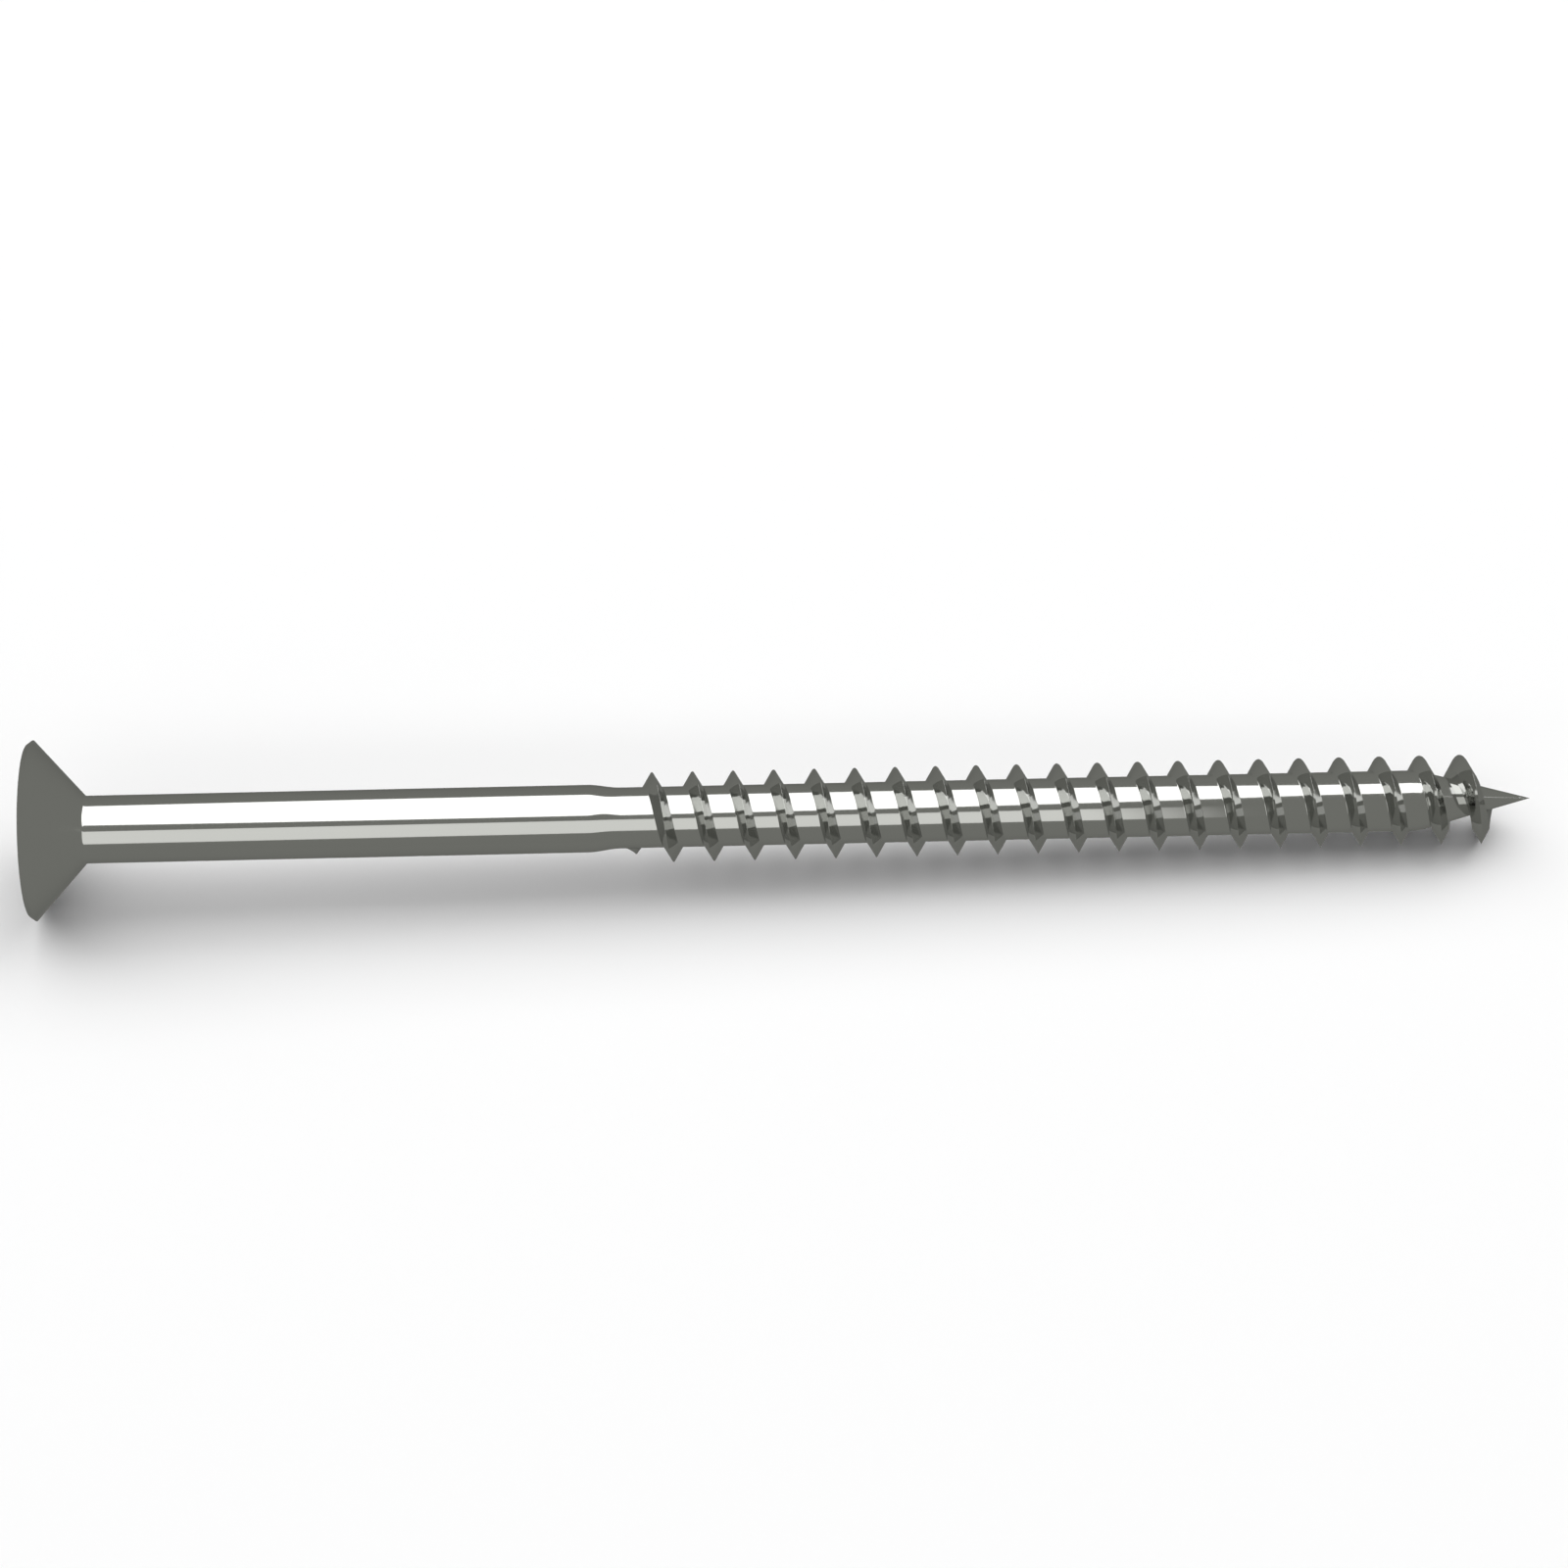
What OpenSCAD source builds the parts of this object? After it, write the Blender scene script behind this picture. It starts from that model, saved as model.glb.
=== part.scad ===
// Structural wood screw with a countersunk head, a smooth shank and a coarse right-hand thread.
// It is one piece of steel, cold headed from wire, with the thread rolled on afterwards.
// It lies as it comes to rest, on the rim of its head and on the last crest of its thread,
// with the head towards -X and the tip towards +X. All sizes are in millimetres.

/* [Overall] */
// Length from the face of the head to the tip
length = 100; // [80:1:160]

/* [Head] */
// Diameter of the head at its rim
head_d = 12; // [9:0.1:16]
// Height of the sloped edge between the face and the rim
edge_h = 0.42; // [0.2:0.02:0.8]
// Slope of that edge, measured from the axis
edge_angle = 35; // [15:1:55]
// Radius of the rounding between that edge and the face
face_edge_r = 0.25; // [0.05:0.05:0.4]
// Included angle of the countersunk seat
seat_angle = 96; // [80:1:110]
// Radius of the fillet between the seat and the shank
under_head_r = 0.15; // [0.1:0.05:1.5]

/* [Drive socket] */
// Width across two opposite lobes
lobe_d = 5.6; // [4.6:0.05:6.6]
// Width across two opposite flutes
flute_d = 3.95; // [3.4:0.05:4.6]
// Radius of each flute
flute_r = 1.2; // [0.9:0.05:1.6]
// Depth of the straight walls
socket_depth = 2.5; // [1.5:0.1:2.8]
// Further depth of the conical bottom
socket_bottom = 0.8; // [0.3:0.1:1.2]
// Width of the chamfer round the mouth
mouth_chamfer = 0.15; // [0.05:0.05:0.4]

/* [Shank] */
// Diameter of the smooth shank
shank_d = 4.5; // [3.8:0.05:5.8]
// Length of the curved step from the shank down to the neck of the thread
neck_len = 2.2; // [0.8:0.1:6]

/* [Thread] */
// Length of the threaded end, from the first foot of the thread to the tip
thread_len = 60.6; // [30:0.1:85]
// Diameter over the crests
thread_d = 6; // [5.2:0.1:7.4]
// Diameter at the root
core_d = 4.05; // [3.2:0.05:4.6]
// Advance in one turn
pitch = 2.7; // [2.2:0.1:4.5]
// Angle between the two flanks
flank_angle = 60; // [40:1:70]
// Width of the flat on the crest
crest_w = 0.08; // [0.02:0.02:0.3]
// Turn in which the thread rises from the core
run_in = 36; // [24:12:180]
// Turn in which the thread sinks back into the point
run_out = 60; // [24:12:180]

/* [Point] */
// Length of the cone from the core to the tip
point_len = 7.6; // [4:0.1:14]
// Distance from the tip to the last full crest on the underside
last_crest = 3.0; // [2.4:0.1:6]

/* [Hidden] */
steel = [0.42, 0.42, 0.41];
$fn = 96;
turn_steps = 30;
arc_steps = 6;
neck_steps = 10;
// Lobes of the drive socket
lobes = 6;
// Points in one section of the thread
section_size = 6;
// The neck stands this far proud of the root of the thread
root_step = 0.025;
// Bare core between the neck and the first foot of the thread
bare_core = 0.2;
// The full thread goes this far round past the last crest on the underside
full_past_crest = 24;
// What is cut goes this far past the face, and what is joined reaches this far inside
overlap = 0.4;

head_r = head_d / 2;
shank_r = shank_d / 2;
thread_r = thread_d / 2;
core_r = core_d / 2;
neck_r = core_r + root_step;
face_flat_r = head_r - edge_h * tan(edge_angle) - face_edge_r * tan((90 - edge_angle) / 2);

// Stations along the axis, measured from the face of the head
seat_end_z = edge_h + (head_r - shank_r) / tan(seat_angle / 2);
neck_end_z = length - thread_len - bare_core;
point_z = length - point_len;
contact_z = length - last_crest;

// The thread is a row of sections, one each step of the turn, counted from the head
foot_w = crest_w / 2 + (thread_r - core_r) * tan(flank_angle / 2);
step_angle = 360 / turn_steps;
contact_row = round((contact_z - (length - thread_len + foot_w)) / pitch * turn_steps);
last_row = contact_row + round((full_past_crest + run_out) / step_angle);

// The rim and the last full crest stand on one plane, so the axis slopes down to the tip
rest_tilt = atan((head_r - thread_r) / (contact_z - edge_h));
rest_height = head_r * cos(rest_tilt) + edge_h * sin(rest_tilt);
middle_x = (length * cos(rest_tilt) - face_flat_r * sin(rest_tilt)) / 2;

// Points of an arc about a centre, from one angle to another
function arc(centre, r, from, to) = [
    for (i = [0:arc_steps])
        let (a = from + (to - from) * i / arc_steps)
        centre + r * [cos(a), sin(a)]
];

// Smooth rise from 0 to 1, level at both ends
function ease(t) = t * t * (3 - 2 * t);

// Half of the lengthwise section of head, shank and neck, as [radius, station]
function blank_section() =
    let (
        half = seat_angle / 2,
        fillet_centre = [shank_r + under_head_r, seat_end_z + under_head_r * tan(half / 2)],
        neck_start_z = neck_end_z - neck_len
    )
    concat(
        [[0, 0]],
        arc([face_flat_r, face_edge_r], face_edge_r, -90, -edge_angle),
        [[head_r, edge_h]],
        arc(fillet_centre, under_head_r, 180 + half, 180),
        [
            for (i = [0:neck_steps])
                let (t = i / neck_steps)
                [shank_r + (neck_r - shank_r) * ease(t), neck_start_z + neck_len * t]
        ],
        [[0, neck_end_z]]
    );

// Radius of the bare core and of the point
function core_at(z) = z < point_z ? core_r : core_r * (length - z) / point_len;

// Station of the middle of the thread in one row
function row_z(row) = contact_z + pitch * (row - contact_row) / turn_steps;

// How much of the thread's height a row has
function row_height(row) = min(1, row * step_angle / run_in, (last_row - row) * step_angle / run_out);

// A point at one row's angle, counted from the underside, where the contact row stands
function on_row(row, r, z) =
    let (a = (row - contact_row) * step_angle)
    [r * cos(a), r * sin(a), z];

// Point of a thread section that stands on the core and reaches towards radius r
function section_point(row, offset, r) =
    let (
        z = row_z(row) + offset,
        base = core_at(z)
    )
    on_row(row, base + (r - base) * row_height(row), z);

// The six points of one section: foot, shoulder, the two edges of the crest, shoulder and foot
function thread_section(row) = [
    on_row(row, core_at(row_z(row) - foot_w), row_z(row) - foot_w),
    section_point(row, -foot_w, core_r),
    section_point(row, -crest_w / 2, thread_r),
    section_point(row, crest_w / 2, thread_r),
    section_point(row, foot_w, core_r),
    on_row(row, core_at(row_z(row) + foot_w), row_z(row) + foot_w)
];

// A shoulder stands clear of its foot only where the core has begun to taper
function shoulder_clear(row, offset) =
    row_height(row) > 0 && row < last_row && core_at(row_z(row) + offset) < core_r;

// Place in the list of points of one point of a section, where a low shoulder is its foot
function at(row, j) =
    turn_steps + section_size * row + (
        j == 1 && !shoulder_clear(row, -foot_w) ? 0 :
        j == 4 && !shoulder_clear(row, foot_w) ? 5 : j
    );

// Two triangles, without those that have no area
function quad(a, b, c, d) = [
    for (t = [[a, b, c], [a, c, d]])
        if (t[0] != t[1] && t[1] != t[2] && t[2] != t[0]) t
];

// Triangles from one point to each pair of neighbours in a row of points
function fan(a, line) = [for (i = [0:len(line) - 2]) [a, line[i], line[i + 1]]];

// Joins lists of triangles into one list
function flat(lists) = [for (l = lists) each l];

// One foot-to-foot line of a section that has sunk into the core
function sunk_section(row) = [for (j = [0, 2, 3, 5]) at(row, j)];

// The wire blank after heading: head, seat, shank and neck, turned about the axis
module blank() {
    rotate_extrude()
        polygon(blank_section());
}

// Six-lobe recess with a chamfered mouth and a conical bottom
module drive_socket() {
    translate([0, 0, -overlap])
        linear_extrude(socket_depth + overlap)
            difference() {
                circle(d = lobe_d);
                for (k = [0:lobes - 1])
                    rotate(360 / lobes * (k + 0.5))
                        translate([flute_d / 2 + flute_r, 0])
                            circle(r = flute_r);
            }
    translate([0, 0, socket_depth])
        cylinder(h = socket_bottom, d1 = flute_d, d2 = 0);
    translate([0, 0, -overlap])
        cylinder(
            h = overlap + 2 * mouth_chamfer,
            r1 = lobe_d / 2 + mouth_chamfer + overlap,
            r2 = lobe_d / 2 - mouth_chamfer
        );
}

// Core, thread and point in one closed skin that follows the helix
module threaded_end() {
    tip = turn_steps + section_size * (last_row + 1);
    last_turn = last_row - turn_steps;
    points = concat(
        [for (i = [0:turn_steps - 1]) on_row(i, core_r, neck_end_z - overlap)],
        flat([for (row = [0:last_row]) thread_section(row)]),
        [[0, 0, length]]
    );
    faces = concat(
        fan(0, [for (i = [1:turn_steps - 1]) i]),
        flat([for (i = [0:turn_steps - 2]) quad(i, at(i, 0), at(i + 1, 0), i + 1)]),
        fan(
            at(turn_steps - 1, 0),
            concat([at(turn_steps, 0)], [for (j = [5, 3, 2, 0]) at(0, j)], [0, turn_steps - 1])
        ),
        flat([
            for (row = [0:last_row - 1], j = [0:section_size - 2])
                quad(at(row, j), at(row, j + 1), at(row + 1, j + 1), at(row + 1, j))
        ]),
        flat([
            for (row = [0:last_turn - 1])
                let (next = row + turn_steps)
                quad(at(row, 5), at(next, 0), at(next + 1, 0), at(row + 1, 5))
        ]),
        fan(at(last_turn + 1, 5), concat([at(last_turn, 5)], sunk_section(last_row), [tip])),
        [for (row = [last_turn + 1:last_row - 1]) [at(row, 5), tip, at(row + 1, 5)]]
    );
    polyhedron(points, faces);
}

// The whole screw, laid down at rest
module screw() {
    color(steel)
        translate([-middle_x, 0, rest_height])
            rotate([0, 90 + rest_tilt, 0])
                union() {
                    difference() {
                        blank();
                        drive_socket();
                    }
                    threaded_end();
                }
}

screw();
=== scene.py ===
import math

import bmesh
import bpy
from mathutils import Matrix, Vector


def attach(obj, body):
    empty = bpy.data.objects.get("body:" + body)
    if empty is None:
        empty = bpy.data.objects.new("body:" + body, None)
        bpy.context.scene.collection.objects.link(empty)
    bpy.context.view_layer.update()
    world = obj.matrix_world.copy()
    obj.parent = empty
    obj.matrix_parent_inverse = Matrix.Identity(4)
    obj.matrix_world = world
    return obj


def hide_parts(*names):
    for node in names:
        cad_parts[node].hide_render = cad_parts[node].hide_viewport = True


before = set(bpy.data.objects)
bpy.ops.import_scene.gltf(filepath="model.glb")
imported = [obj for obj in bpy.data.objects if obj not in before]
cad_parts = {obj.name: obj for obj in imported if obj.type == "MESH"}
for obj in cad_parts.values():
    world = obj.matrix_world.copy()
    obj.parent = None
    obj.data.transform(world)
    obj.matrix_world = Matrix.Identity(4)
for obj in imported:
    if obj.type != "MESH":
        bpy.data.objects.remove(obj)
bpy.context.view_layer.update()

# The blank is drawn steel wire. A cold header upsets one end into the countersunk head and punches
# the six-lobe socket into its face, and the other end is drawn down in a smooth step to the neck.
MM = 0.001
length = 100 * MM
head_r = 6 * MM
edge_h = 0.42 * MM
edge_angle = math.radians(35)
face_edge_r = 0.25 * MM
seat_half_angle = math.radians(48)
under_head_r = 0.15 * MM
shank_r = 2.25 * MM
core_r = 2.025 * MM
neck_end = 39.2 * MM
neck_len = 2.2 * MM
lobe_r = 2.8 * MM
flute_floor_r = 1.975 * MM
flute_r = 1.2 * MM
lobe_softness = 0.04 * MM
socket_depth = 2.5 * MM
socket_tip = 3.3 * MM
mouth_chamfer = 0.15 * MM
lobes = 6
steps_round = 120
arc_steps = 8
neck_steps = 16
hold = 0.08 * MM

seat_end = edge_h + (head_r - shank_r) / math.tan(seat_half_angle)
edge_foot_r = head_r - edge_h * math.tan(edge_angle)
face_flat_r = edge_foot_r - face_edge_r * math.tan((math.pi / 2 - edge_angle) / 2)
angles = [math.tau * column / steps_round for column in range(steps_round)]


def circle(radius, station):
    """One ring of the blank, as a radius and a distance from the face for each step round."""
    return [(radius, station)] * steps_round


def arc(centre, radius, start, end):
    """Rings along a round edge."""
    turns = [start + (end - start) * step / arc_steps for step in range(arc_steps + 1)]
    return [circle(centre[0] + radius * math.cos(a), centre[1] + radius * math.sin(a)) for a in turns]


def socket_radius(angle):
    """Distance from the axis to the wall of the six-lobe socket, with the lobes' corners eased."""
    from_flute = (angle + math.pi / lobes) % (math.tau / lobes) - math.pi / lobes
    centre = flute_floor_r + flute_r
    reach = flute_r ** 2 - (centre * math.sin(from_flute)) ** 2
    if reach <= 0:
        return lobe_r
    flute = centre * math.cos(from_flute) - math.sqrt(reach)
    return -lobe_softness * math.log(math.exp(-flute / lobe_softness) + math.exp(-lobe_r / lobe_softness))


def ease(t):
    """Goes from 0 to 1 with a gentle start and end."""
    return t * t * (3 - 2 * t)


wall = [socket_radius(angle) for angle in angles]
ledge_r = lobe_r - mouth_chamfer
mouth = [max(radius, ledge_r) for radius in wall]
mouth_depth = [lobe_r + mouth_chamfer - radius for radius in mouth]
fillet_centre = (shank_r + under_head_r, seat_end + under_head_r * math.tan(seat_half_angle / 2))
fillet = arc(fillet_centre, under_head_r, math.pi + seat_half_angle, math.pi)
edge = arc((face_flat_r, face_edge_r), face_edge_r, -math.pi / 2, -edge_angle)
edge_slope = Vector((math.sin(edge_angle), math.cos(edge_angle))) * hold
seat_slope = Vector((-math.sin(seat_half_angle), math.cos(seat_half_angle))) * hold
rings = [
    circle(0, socket_tip),
    circle(flute_floor_r - hold, socket_depth + hold),
    circle(flute_floor_r, socket_depth),
    [(radius, socket_depth) for radius in wall],
    [(radius, socket_depth - hold) for radius in wall],
    [(radius, depth + hold) for radius, depth in zip(wall, mouth_depth)],
    list(zip(wall, mouth_depth)),
    list(zip(mouth, mouth_depth)),
    circle(lobe_r + mouth_chamfer, 0),
    circle(lobe_r + mouth_chamfer + hold, 0),
    circle(face_flat_r - hold, 0),
    *edge,
    circle(edge[-1][0][0] + edge_slope.x, edge[-1][0][1] + edge_slope.y),
    circle(head_r, edge_h),
    circle(head_r + seat_slope.x, edge_h + seat_slope.y),
    circle(fillet[0][0][0] - seat_slope.x, fillet[0][0][1] - seat_slope.y),
    *fillet,
    circle(shank_r, fillet_centre[1] + hold),
]
for step in range(neck_steps + 1):
    part = step / neck_steps
    rings.append(circle(shank_r + (core_r - shank_r) * ease(part), neck_end - neck_len * (1 - part)))

points = []
for ring in rings:
    for angle, (radius, station) in zip(angles, ring):
        points.append((radius * math.cos(angle), radius * math.sin(angle), station))
faces = []
for row in range(len(rings) - 1):
    for column in range(steps_round):
        here = row * steps_round + column
        beside = row * steps_round + (column + 1) % steps_round
        faces.append((here, beside, beside + steps_round, here + steps_round))
blank = bpy.data.meshes.new("headed_blank")
blank.from_pydata(points, [], faces)
screw = bpy.data.objects.new("rolled_screw", blank)
bpy.context.scene.collection.objects.link(screw)

# The thread is rolled: flat dies press a coarse right-hand V into the neck and push the steel up to
# the crest, and at the end they pinch the blank into a cone that the last turn runs out on.
thread_r = 3 * MM
pitch = 2.7 * MM
flank_half_angle = math.radians(30)
crest_w = 0.006 * MM
root_fillet = 0.018 * MM
thread_len = 60.6 * MM
point_len = 7.6 * MM
last_crest = 3.0 * MM
run_in_turns = 0.1
run_out_turns = 0.1667
full_past_crest_turns = 0.0667
fillet_waist = 0.25
flat_from_foot = 2.5
low_flank = 0.12
weld = 0.001 * MM
tip_gather = 0.1 * MM
sharp_angle = math.radians(38)


class Wire:
    """A value on its way through a node tree. Arithmetic on it adds Math nodes to the tree."""

    def __init__(self, socket):
        self.socket = socket
        self.tree = socket.id_data

    def math(self, operation, *others):
        node = self.tree.nodes.new("ShaderNodeMath")
        node.operation = operation
        for slot, value in zip(node.inputs, (self, *others)):
            feed(slot, value)
        return Wire(node.outputs[0])

    def __add__(self, other):
        return self.math("ADD", other)

    def __sub__(self, other):
        return self.math("SUBTRACT", other)

    def __mul__(self, other):
        return self.math("MULTIPLY", other)

    def __truediv__(self, other):
        return self.math("DIVIDE", other)


def feed(slot, value):
    """Gives an input socket a wire, or a plain value."""
    if isinstance(value, Wire):
        slot.id_data.links.new(value.socket, slot)
    else:
        slot.default_value = value


def place(tree, kind, **inputs):
    """Adds a node and feeds the inputs that are named."""
    node = tree.nodes.new(kind)
    for name, value in inputs.items():
        feed(node.inputs[name.replace("_", " ")], value)
    return node


def choose(tree, index, values):
    """Picks one of several values by a whole number."""
    node = tree.nodes.new("GeometryNodeIndexSwitch")
    node.data_type = "FLOAT"
    while len(node.index_switch_items) < len(values):
        node.index_switch_items.new()
    feed(node.inputs[0], index)
    for slot, value in zip(node.inputs[1:], values):
        feed(slot, value)
    return Wire(node.outputs[0])


thread_sizes = {
    "Length": length,
    "Start": neck_end,
    "Core radius": core_r,
    "Thread radius": thread_r,
    "Pitch": pitch,
    "Flank half angle": flank_half_angle,
    "Crest width": crest_w,
    "Root fillet": root_fillet,
    "Thread length": thread_len,
    "Point length": point_len,
    "Last crest": last_crest,
    "Run-in turns": run_in_turns,
    "Run-out turns": run_out_turns,
    "Full turns past the last crest": full_past_crest_turns,
    "Steps per turn": steps_round,
}
tree = bpy.data.node_groups.new("rolled_thread", "GeometryNodeTree")
tree.interface.new_socket("Blank", in_out="INPUT", socket_type="NodeSocketGeometry")
size_sockets = {
    name: tree.interface.new_socket(name, in_out="INPUT", socket_type="NodeSocketFloat")
    for name in thread_sizes
}
steel_socket = tree.interface.new_socket("Steel", in_out="INPUT", socket_type="NodeSocketMaterial")
tree.interface.new_socket("Screw", in_out="OUTPUT", socket_type="NodeSocketGeometry")
entry = tree.nodes.new("NodeGroupInput")
size = {name: Wire(entry.outputs[name]) for name in thread_sizes}

# Across one pitch, from the middle of the root up to the crest: how far each line of the thread lies
# from the middle of the ridge, and the radius that it reaches for.
height = size["Thread radius"] - size["Core radius"]
half_crest = size["Crest width"] * 0.5
foot = half_crest + height * size["Flank half angle"].math("TANGENT")
fillet_rise = size["Root fillet"] * size["Flank half angle"].math("COSINE")
fillet_run = size["Root fillet"] * size["Flank half angle"].math("SINE")


def on_flank(share):
    """Offset and reach of a line part of the way up the flank."""
    return foot + (half_crest - foot) * share, size["Core radius"] + height * share


profile = [
    (size["Pitch"] * 0.5, 0.0),
    (foot + size["Root fillet"] * flat_from_foot, 0.0),
    (foot + size["Root fillet"], 0.0),
    (
        foot + (size["Root fillet"] - fillet_run) * fillet_waist,
        size["Core radius"] + fillet_rise * fillet_waist,
    ),
    on_flank(fillet_rise / height),
    on_flank(low_flank),
    on_flank(1.0),
    (0.0, size["Thread radius"]),
]
columns = len(profile) * 2 - 1

# A grid becomes the skin of core, thread and point: its rows go round the helix, and its columns go
# across one pitch, so that the last column of a turn meets the first column of the next. What would
# crowd round the apex is gathered into it.
steps = size["Steps per turn"]
contact = size["Length"] - size["Last crest"]
rows_before = ((contact - size["Start"]) / size["Pitch"] * steps + steps * 0.5).math("CEIL")
rows_after = (size["Last crest"] / size["Pitch"] * steps + steps * 0.5).math("CEIL")
grid = place(tree, "GeometryNodeMeshGrid", Vertices_X=rows_before + rows_after + 2, Vertices_Y=columns)
index = Wire(tree.nodes.new("GeometryNodeInputIndex").outputs[0])
row = ((index + 0.5) / columns).math("FLOOR")
column = index - row * columns
turns = (row - rows_before) / steps
from_edge = column.math("MINIMUM", column * -1.0 + (columns - 1))
side = (column - (columns - 1) / 2).math("SIGN")
offset = choose(tree, from_edge, [pair[0] for pair in profile]) * side
reach = choose(tree, from_edge, [pair[1] for pair in profile])
station = (contact + turns * size["Pitch"] + offset).math("MAXIMUM", size["Start"])
station = station.math("MINIMUM", size["Length"])
at_tip = station.math("GREATER_THAN", size["Length"] - tip_gather)
station = station + (size["Length"] - station) * at_tip
taper = (size["Length"] - station) / size["Point length"]
base = size["Core radius"] * taper.math("MINIMUM", 1.0)
turns_full = (contact - (size["Length"] - size["Thread length"] + foot)) / size["Pitch"]
rise = (turns + turns_full) / size["Run-in turns"]
end_turns = size["Full turns past the last crest"] + size["Run-out turns"]
fall = (end_turns - turns) / size["Run-out turns"]
share = rise.math("MINIMUM", fall).math("MINIMUM", 1.0).math("MAXIMUM", 0.0)
lift = (reach - base).math("MAXIMUM", 0.0) * share
radius = base + lift
angle = turns * math.tau
spot = place(
    tree,
    "ShaderNodeCombineXYZ",
    X=radius * angle.math("COSINE"),
    Y=radius * angle.math("SINE"),
    Z=station,
)
skin = place(
    tree,
    "GeometryNodeSetPosition",
    Geometry=Wire(grid.outputs["Mesh"]),
    Position=Wire(spot.outputs[0]),
)
ridge = place(tree, "GeometryNodeStoreNamedAttribute", Geometry=Wire(skin.outputs[0]), Name="ridge")
ridge.data_type = "FLOAT"
ridge.domain = "POINT"
feed(ridge.inputs["Value"], lift / height)

# The skin is welded to the blank along the neck and along its own turns, and only true edges stay
# sharp.
joined = tree.nodes.new("GeometryNodeJoinGeometry")
feed(joined.inputs[0], Wire(ridge.outputs[0]))
feed(joined.inputs[0], Wire(entry.outputs["Blank"]))
welded = place(tree, "GeometryNodeMergeByDistance", Geometry=Wire(joined.outputs[0]), Distance=weld)
smooth = place(tree, "GeometryNodeSetShadeSmooth", Geometry=Wire(welded.outputs[0]), Shade_Smooth=True)
fold_angle = Wire(tree.nodes.new("GeometryNodeInputMeshEdgeAngle").outputs["Unsigned Angle"])
creased = place(
    tree,
    "GeometryNodeSetShadeSmooth",
    Geometry=Wire(smooth.outputs[0]),
    Selection=fold_angle.math("GREATER_THAN", sharp_angle),
    Shade_Smooth=False,
)
creased.domain = "EDGE"
real = place(tree, "GeometryNodeRealizeInstances", Geometry=Wire(creased.outputs[0]))
finished = place(
    tree, "GeometryNodeSetMaterial", Geometry=Wire(real.outputs[0]), Material=Wire(entry.outputs["Steel"])
)
way_out = tree.nodes.new("NodeGroupOutput")
feed(way_out.inputs[0], Wire(finished.outputs[0]))

# The screw lies loose on the floor, on the rim of its head and on its last crest, so its axis slopes
# down to the tip. The middle of its length stands at the origin.
rest_tilt = math.atan((head_r - thread_r) / (length - last_crest - edge_h))
rest_height = head_r * math.cos(rest_tilt) + edge_h * math.sin(rest_tilt)
middle = (length * math.cos(rest_tilt) - face_flat_r * math.sin(rest_tilt)) / 2

# The finish is bare bright steel: faint drawing lines along the shank, lines that the dies have left
# along the flanks of the thread, rings from the punch on the head, and a slightly duller root.
bright_steel = (0.7, 0.705, 0.69, 1)
dull_steel = (0.665, 0.67, 0.655, 1)
edge_tint = (0.75, 0.75, 0.75, 1)
mark_scale = 3000
mark_detail = 2
mark_length = 0.01
mark_depth = 0.001 * MM
mark_strength = 0.5
lines_on_flank = 12
cloud_scale = 140
cloud_detail = 3
cloud_share = 0.6
mark_share = 0.4
root_reach = 0.25
least_roughness = 0.05
dull_roughness = 0.05
root_roughness = 0.02

steel = bpy.data.materials.new("bright_steel")
steel.use_nodes = True
finish = steel.node_tree


def noise(vector, scale, detail):
    """Soft random spots from 0 to 1."""
    spots = place(finish, "ShaderNodeTexNoise", Vector=vector, Scale=scale, Detail=detail)
    return Wire(spots.outputs[0])


def fine_marks(x, y, z):
    """Fine marks across the direction in which the three values change fastest."""
    where = place(finish, "ShaderNodeCombineXYZ", X=x, Y=y, Z=z)
    return noise(Wire(where.outputs[0]), mark_scale, mark_detail)


on_object = Wire(finish.nodes.new("ShaderNodeTexCoord").outputs["Object"])
face_centre = (
    middle * math.cos(rest_tilt) + rest_height * math.sin(rest_tilt),
    0,
    middle * math.sin(rest_tilt) - rest_height * math.cos(rest_tilt),
)
on_axis = place(
    finish, "ShaderNodeMapping", Vector=on_object, Location=face_centre, Rotation=(0, -rest_tilt, 0)
)
parts = place(finish, "ShaderNodeSeparateXYZ", Vector=Wire(on_axis.outputs[0]))
from_face, across, upward = (Wire(part) for part in parts.outputs)
from_axis = (across * across + upward * upward).math("SQRT")
height_on_thread = finish.nodes.new("ShaderNodeAttribute")
height_on_thread.attribute_name = "ridge"
up_flank = Wire(height_on_thread.outputs["Fac"])
on_head = from_face.math("LESS_THAN", seat_end)
on_thread = from_face.math("GREATER_THAN", neck_end)
drawn = fine_marks(from_face * mark_length, across, upward)
rolled = fine_marks(up_flank * (lines_on_flank / mark_scale), from_face * mark_length, 0.0)
punched = fine_marks(from_axis, 0.0, 0.0)
marks = drawn + (rolled - drawn) * on_thread
marks = marks + (punched - marks) * on_head
clouds = noise(on_object, cloud_scale, cloud_detail)
root = on_thread * (up_flank * (-1 / root_reach) + 1.0).math("MAXIMUM", 0.0)
dullness = clouds * cloud_share + marks * mark_share
blend = finish.nodes.new("ShaderNodeMix")
blend.data_type = "RGBA"
bright_slot, dull_slot = (slot for slot in blend.inputs if slot.type == "RGBA")
(steel_colour,) = (slot for slot in blend.outputs if slot.type == "RGBA")
feed(blend.inputs["Factor"], dullness)
feed(bright_slot, bright_steel)
feed(dull_slot, dull_steel)
relief = place(finish, "ShaderNodeBump", Height=marks, Strength=mark_strength, Distance=mark_depth)
shader = finish.nodes["Principled BSDF"]
feed(shader.inputs["Base Color"], Wire(steel_colour))
feed(shader.inputs["Metallic"], 1)
feed(shader.inputs["Roughness"], dullness * dull_roughness + root * root_roughness + least_roughness)
feed(shader.inputs["Specular Tint"], edge_tint)
feed(shader.inputs["Normal"], Wire(relief.outputs[0]))

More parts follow.
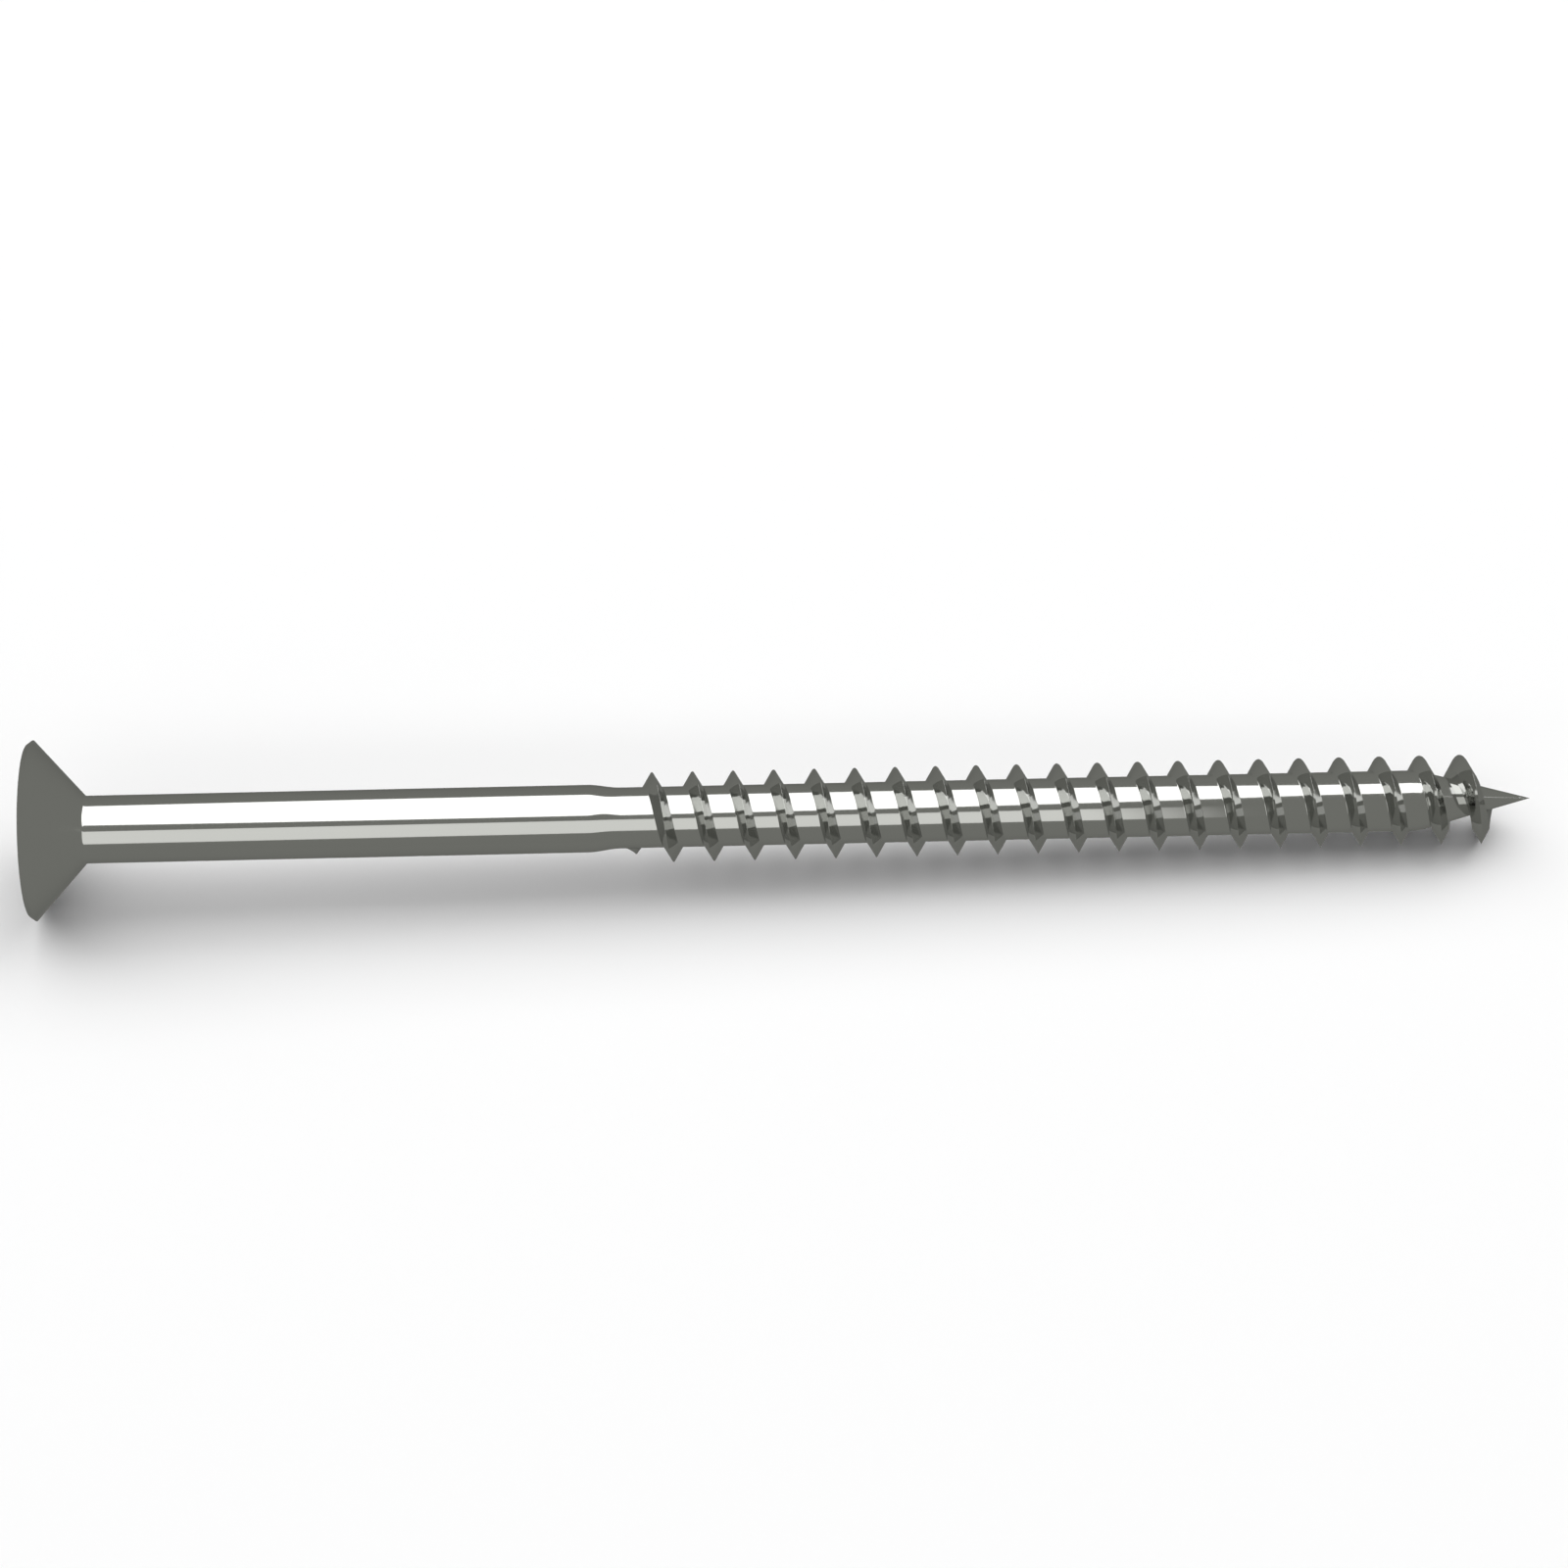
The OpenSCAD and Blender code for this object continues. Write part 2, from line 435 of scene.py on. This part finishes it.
# With its sizes and its steel set, the tree rolls the blank. The result is laid in its rest place.
modifier = screw.modifiers.new("rolled_thread", "NODES")
modifier.node_group = tree
for name, value in thread_sizes.items():
    modifier[size_sockets[name].identifier] = float(value)
modifier[steel_socket.identifier] = steel
graph = bpy.context.evaluated_depsgraph_get()
whole = bpy.data.meshes.new_from_object(screw.evaluated_get(graph))
screw.modifiers.remove(modifier)
screw.data = whole

lay_down = Matrix.Rotation(math.pi / 2 + rest_tilt, 4, "Y")
whole.transform(Matrix.Translation((-middle, 0, rest_height)) @ lay_down)
shape = bmesh.new()
shape.from_mesh(whole)
bmesh.ops.recalc_face_normals(shape, faces=shape.faces)
shape.to_mesh(whole)
shape.free()
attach(screw, "root")
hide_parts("screw")

# The floor is one sheet of matt white card, far larger than the screw, with a round screen of the same
# card standing on it far away. Beyond the screw's shadow the card is plain white to the camera, and the
# polish mirrors the lights and the room but not the card.
floor_half = 3.0
screen_r = 2.8
screen_h = 2.0
screen_sides = 96
shade_end = 0.25
white_start = 0.5
card_colour = (0.9, 0.9, 0.9, 1)
plain_white = (1, 1, 1, 1)
card = bpy.data.materials.new("white_card")
card.use_nodes = True
paper = card.node_tree
board = paper.nodes["Principled BSDF"]
feed(board.inputs["Base Color"], card_colour)
feed(board.inputs["Roughness"], 1)
feed(board.inputs["Specular IOR Level"], 0)
on_card = Wire(paper.nodes.new("ShaderNodeTexCoord").outputs["Object"])
from_screw = place(paper, "ShaderNodeVectorMath", Vector=on_card)
from_screw.operation = "LENGTH"
whiteness = (Wire(from_screw.outputs["Value"]) - shade_end) / (white_start - shade_end)
whiteness = whiteness.math("MAXIMUM", 0.0).math("MINIMUM", 1.0)
to_camera = Wire(paper.nodes.new("ShaderNodeLightPath").outputs["Is Camera Ray"])
clear = place(paper, "ShaderNodeEmission", Color=plain_white, Strength=1)
surface = place(paper, "ShaderNodeMixShader", Fac=whiteness * to_camera)
feed(surface.inputs[1], Wire(board.outputs[0]))
feed(surface.inputs[2], Wire(clear.outputs[0]))
feed(paper.nodes["Material Output"].inputs["Surface"], Wire(surface.outputs[0]))
card.cycles.emission_sampling = "NONE"


def sheet_of_card(name, corners, panels):
    """Sets up a sheet of the card, which the steel does not mirror."""
    sheet = bpy.data.meshes.new(name)
    sheet.from_pydata(corners, [], panels)
    sheet.materials.append(card)
    stand = bpy.data.objects.new(name, sheet)
    bpy.context.scene.collection.objects.link(stand)
    stand.visible_glossy = False
    return stand


corners = [(x * floor_half, y * floor_half, 0) for x, y in ((-1, -1), (1, -1), (1, 1), (-1, 1))]
sheet_of_card("floor", corners, [(0, 1, 2, 3)])
round_screen = [math.tau * side / screen_sides for side in range(screen_sides)]
corners = [(screen_r * math.cos(a), screen_r * math.sin(a), z) for z in (0, screen_h) for a in round_screen]
panels = []
for side in range(screen_sides):
    beside = (side + 1) % screen_sides
    panels.append((side, side + screen_sides, beside + screen_sides, beside))
screen = sheet_of_card("screen", corners, panels)
screen.visible_diffuse = False

# The polish mirrors soft boxes: two overhead and one in front, close to the screw, and dimmer ones far
# beyond its tip. Three large boxes light only the card, and they cast the soft shadow.
axis_height = 5.5 * MM
near = 105 * MM
front_near = 65 * MM
far = 1
card_far = 1.1
card_box_width = 4
overhead_at = 95
overhead_radiance = 1.52
front_at = 17.2
front_half_angle = 21.6
front_fade = 0.107
white = (1, 1, 1)
warm_white = (1, 1, 0.978)
room_white = (0.987, 1, 0.923, 1)
room_strength = 0.2125


def soft_box(name, along, width, at, half_angle, distance, radiance, colour=white, shape="RECTANGLE"):
    """Hangs a box of light that faces the axis, at an angle in degrees counted from the front."""
    elevation = math.radians(at)
    lamp = bpy.data.lights.new(name, "AREA")
    lamp.shape = shape
    lamp.size = width
    lamp.size_y = 2 * distance * math.tan(math.radians(half_angle))
    lamp.color = colour
    area = lamp.size * lamp.size_y * (math.pi / 4 if shape == "ELLIPSE" else 1)
    lamp.energy = radiance * math.pi * area
    box = bpy.data.objects.new(name, lamp)
    box.location = (along, -distance * math.cos(elevation), axis_height + distance * math.sin(elevation))
    box.rotation_euler = (math.pi / 2 - elevation, 0, 0)
    box.visible_camera = False
    bpy.context.scene.collection.objects.link(box)
    return box


def only_mirrored(tree, strength):
    """Strength that counts only where no matt surface lies between light and camera."""
    bounces = Wire(tree.nodes.new("ShaderNodeLightPath").outputs["Diffuse Depth"])
    return bounces.math("LESS_THAN", 1.0) * strength


overhead = soft_box(
    "overhead_box",
    along=-17 * MM,
    width=164 * MM,
    at=overhead_at,
    half_angle=39.5,
    distance=near,
    radiance=overhead_radiance,
    shape="ELLIPSE",
)
tail = soft_box(
    "overhead_tail_box",
    along=76.5 * MM,
    width=43 * MM,
    at=overhead_at,
    half_angle=20.5,
    distance=near,
    radiance=overhead_radiance,
)
front = soft_box(
    "front_box",
    along=-12.8 * MM,
    width=104 * MM,
    at=front_at,
    half_angle=front_half_angle,
    distance=front_near,
    radiance=0.642,
    colour=warm_white,
)
end_high = soft_box(
    "high_end_box", along=1.5, width=0.8, at=overhead_at, half_angle=33.2, distance=far, radiance=0.95
)
end_low = soft_box(
    "low_end_box",
    along=1.75,
    width=0.9,
    at=front_at,
    half_angle=front_half_angle,
    distance=far,
    radiance=0.35,
)
for box in (overhead, tail, front, end_high, end_low):
    box.visible_diffuse = False
    box.data.use_nodes = True
    glow = box.data.node_tree
    strength = 1.0
    if box == front:
        # It fades out at the end towards the tip.
        on_lamp = Wire(glow.nodes.new("ShaderNodeNewGeometry").outputs["Parametric"])
        lamp_parts = place(glow, "ShaderNodeSeparateXYZ", Vector=on_lamp)
        from_end = Wire(lamp_parts.outputs["X"]) * -1.0 + 1.0
        strength = (from_end / front_fade).math("MINIMUM", 1.0)
    feed(glow.nodes["Emission"].inputs["Strength"], only_mirrored(glow, strength))


def card_box(name, at, half_angle, radiance):
    """Hangs a large box that lights the card and is not mirrored in the steel."""
    box = soft_box(name, 0, card_box_width, at, half_angle, card_far, radiance)
    box.visible_glossy = False


card_box("card_top_box", at=70.5, half_angle=19.5, radiance=0.94)
card_box("card_back_box", at=120, half_angle=30, radiance=1.8)
card_box("card_front_box", at=28.5, half_angle=5, radiance=2.4)

room = bpy.data.worlds.new("room")
bpy.context.scene.world = room
room.use_nodes = True
walls = room.node_tree
feed(walls.nodes["Background"].inputs["Color"], room_white)
feed(walls.nodes["Background"].inputs["Strength"], only_mirrored(walls, room_strength))
room.cycles_visibility.diffuse = False

# The camera looks down on the screw from in front with a long lens, turned a little so that the screw
# climbs to the right across the square picture.
lens = 101.25
sensor = 36
aim = Vector((0.227, 1.431, 5.883)) * MM
distance = 293.6 * MM
azimuth = math.radians(0.702)
elevation = math.radians(45.061)
roll = math.radians(-2.002)
nearest_seen = 0.01
camera = bpy.data.objects.new("camera", bpy.data.cameras.new("camera"))
camera.data.lens = lens
camera.data.sensor_width = sensor
camera.data.clip_start = nearest_seen
turn = Matrix.Rotation(-azimuth, 4, "Z") @ Matrix.Rotation(math.pi / 2 - elevation, 4, "X")
turn = turn @ Matrix.Rotation(roll, 4, "Z")
camera.matrix_world = Matrix.Translation(aim + turn.to_3x3() @ Vector((0, 0, distance))) @ turn
bpy.context.scene.collection.objects.link(camera)
bpy.context.scene.camera = camera
bpy.context.scene.view_settings.view_transform = "Standard"
